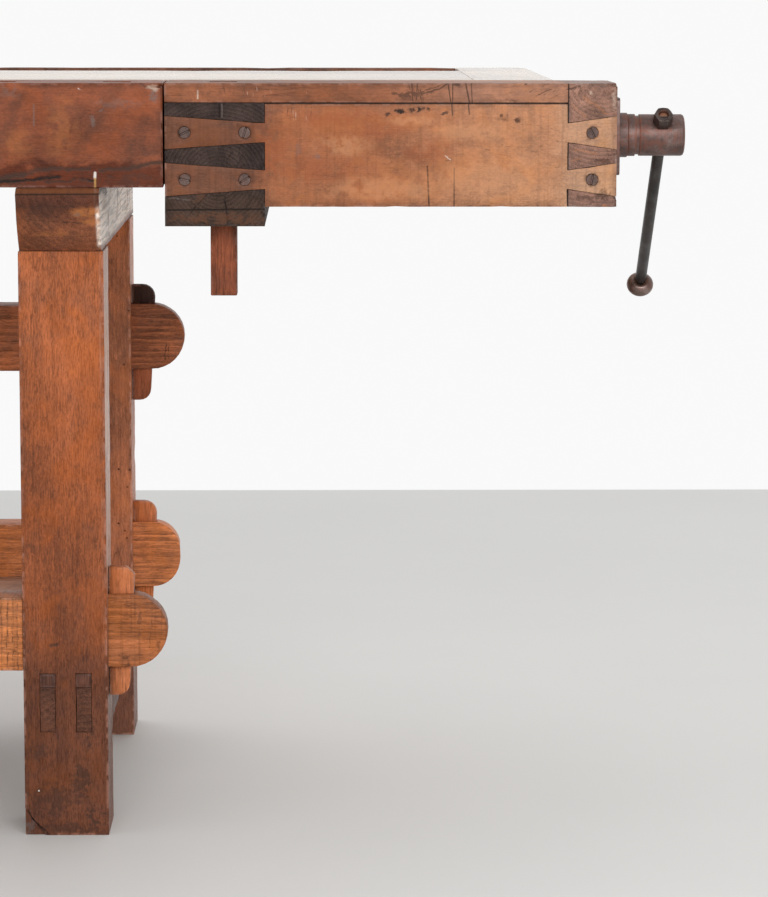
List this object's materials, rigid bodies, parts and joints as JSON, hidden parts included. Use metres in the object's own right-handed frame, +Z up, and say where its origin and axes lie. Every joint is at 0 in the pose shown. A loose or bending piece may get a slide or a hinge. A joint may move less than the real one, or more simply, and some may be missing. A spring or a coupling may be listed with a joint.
{
  "type": "workbench",
  "caption": "Old joiner's bench on a trestle base with wedged through tenons: thick top with dog holes and tool tray, sliding tail vise at the right, jaw vise at the left end.",
  "frame": {"origin": "middle of the bounding box with both vises closed and both bars down, on the floor", "axes": "+Z up, +X along the bench towards the tail vise, -Y towards the worker"},
  "size_m": [2.136, 0.826, 0.8353],
  "materials": {
    "leg_oak": "old oil finish, worn",
    "bearer_oak": "old oil finish, rough sawn and weathered",
    "end_grain": "dark oiled end grain",
    "rail_oak": "old oil finish",
    "wedge_ash": "hand-cut, dry",
    "shelf_pine": "dusty grey-brown, unfinished",
    "top_beech": "oiled, dented and stained",
    "vise_fruitwood": "oiled, dented",
    "screw_steel": "dull, slotted",
    "brown_iron": "turned, brown with age",
    "dog_beech": "hand-planed, darkened"
  },
  "bodies": {
    "bench": {"leg_front_left": "leg_oak", "leg_front_right": "leg_oak", "leg_rear_left": "leg_oak", "leg_rear_right": "leg_oak", "bearer_left": "bearer_oak", "bearer_right": "bearer_oak", "foot_rail_left": "bearer_oak", "foot_rail_right": "bearer_oak", "foot_wedge_left_outer": "end_grain", "foot_wedge_left_inner": "end_grain", "foot_wedge_right_outer": "end_grain", "foot_wedge_right_inner": "end_grain", "stretcher_front": "rail_oak", "stretcher_rear_low": "rail_oak", "stretcher_rear_high": "rail_oak", "tusk_front_left": "wedge_ash", "tusk_front_right": "wedge_ash", "tusk_rear_low_left": "wedge_ash", "tusk_rear_low_right": "wedge_ash", "tusk_rear_high_left": "wedge_ash", "tusk_rear_high_right": "wedge_ash", "shelf_board_1": "shelf_pine", "shelf_board_2": "shelf_pine", "dog_strip": "top_beech", "top_slab": "top_beech", "tray_floor": "top_beech", "tray_back": "top_beech", "end_cap_left": "top_beech", "end_cap_right": "top_beech", "edge_runner": "rail_oak", "tail_screw_nut": "brown_iron", "front_screw_nut": "brown_iron"},
    "tail_carriage": {"vise_front_board": "vise_fruitwood", "vise_jaw_block": "end_grain", "vise_end_block": "end_grain", "vise_cover": "vise_fruitwood", "vise_floor_board": "vise_fruitwood", "tail_flange": "brown_iron", "wood_screw_left_lower": "screw_steel", "wood_screw_left_upper": "screw_steel", "wood_screw_middle_lower": "screw_steel", "wood_screw_middle_upper": "screw_steel", "wood_screw_right_lower": "screw_steel", "wood_screw_right_upper": "screw_steel"},
    "tail_screw": {"tail_screw": "brown_iron", "tail_thrust_collar": "brown_iron"},
    "tail_bar": {"tail_bar": "brown_iron", "tail_bar_nut": "brown_iron", "tail_bar_knob": "brown_iron"},
    "tail_dog": {"tail_dog": "dog_beech"},
    "strip_dog": {"strip_dog": "dog_beech"},
    "front_jaw": {"front_jaw": "vise_fruitwood", "front_guide_left": "rail_oak", "front_guide_right": "rail_oak", "front_flange": "brown_iron"},
    "front_screw": {"front_screw": "brown_iron", "front_thrust_collar": "brown_iron"},
    "front_bar": {"front_bar": "brown_iron", "front_bar_nut": "brown_iron", "front_bar_knob": "brown_iron"}
  },
  "joints": [
    {"name": "tail_screw_turn", "type": "hinge", "parent": "tail_carriage", "child": "tail_screw", "pos_m": [0.98855, -0.19905, 0.7768], "axis": [1, 0, 0], "range_deg": [0, 9000]},
    {"name": "tail_vise_slide", "type": "slide", "parent": "bench", "child": "tail_carriage", "axis": [1, 0, 0], "range_m": [0, 0.2]},
    {"name": "tail_bar_slide", "type": "slide", "parent": "tail_screw", "child": "tail_bar", "axis": [0, -0.7705, 0.6374], "range_m": [0, 0.2575]},
    {"name": "tail_dog_lift", "type": "slide", "parent": "tail_carriage", "child": "tail_dog", "axis": [0, 0, 1], "range_m": [0, 0.12]},
    {"name": "strip_dog_lift", "type": "slide", "parent": "bench", "child": "strip_dog", "axis": [0, 0, 1], "range_m": [0, 0.09]},
    {"name": "front_screw_turn", "type": "hinge", "parent": "front_jaw", "child": "front_screw", "pos_m": [-0.84295, -0.33355, 0.7768], "axis": [0, -1, 0], "range_deg": [0, 6750]},
    {"name": "front_jaw_slide", "type": "slide", "parent": "bench", "child": "front_jaw", "axis": [0, -1, 0], "range_m": [0, 0.15]},
    {"name": "front_bar_slide", "type": "slide", "parent": "front_screw", "child": "front_bar", "axis": [0.4067, 0, 0.9135], "range_m": [0, 0.2575]}
  ],
  "couplings": [
    {"joint": "tail_vise_slide", "follows": "tail_screw_turn", "m_per_rad": 0.0012732},
    {"joint": "front_jaw_slide", "follows": "front_screw_turn", "m_per_rad": 0.0012732}
  ]
}
